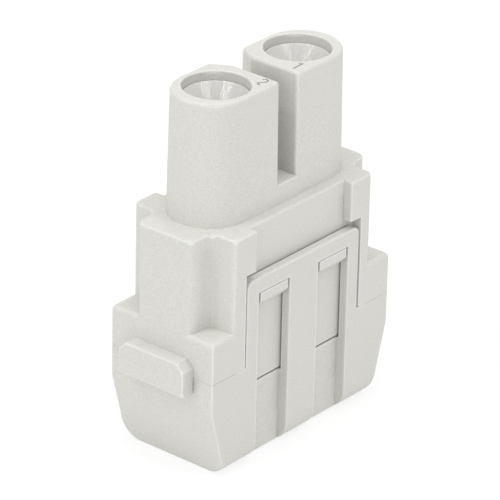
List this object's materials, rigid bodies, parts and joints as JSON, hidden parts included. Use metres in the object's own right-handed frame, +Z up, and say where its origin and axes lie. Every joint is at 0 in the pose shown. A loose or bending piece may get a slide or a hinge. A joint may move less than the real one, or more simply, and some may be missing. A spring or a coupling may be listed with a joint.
{
  "type": "heavy-duty connector insert",
  "caption": "Female power insert with D-shaped contact towers on a stepped body, clipped by window tongues into a tapered cable housing, with fixing lugs on its ends.",
  "frame": {"origin": "middle of the standing face, under the centre of the two towers", "axes": "+Z up from the cable side to the mating side, +X along the wide faces from pole 2 to pole 1, +Y across the wide faces towards the towers' cut corners"},
  "size_m": [0.0346, 0.0148, 0.0435],
  "materials": {
    "carrier_plastic": "fine matte",
    "housing_plastic": "fine matte",
    "guard_plastic": "satin",
    "contact_silver": "silver plated, turned",
    "spring_steel": "rolled",
    "ring_steel": "stamped",
    "cone_brass": "turned"
  },
  "bodies": {
    "root": {"contact_carrier": "carrier_plastic", "cable_housing": "housing_plastic", "funnel_guard_1": "guard_plastic", "socket_contact_1": "contact_silver", "contact_spring_1": "spring_steel", "snap_ring_1": "ring_steel", "clamp_cone_1": "cone_brass", "funnel_guard_2": "guard_plastic", "socket_contact_2": "contact_silver", "contact_spring_2": "spring_steel", "snap_ring_2": "ring_steel", "clamp_cone_2": "cone_brass"}
  },
  "joints": []
}
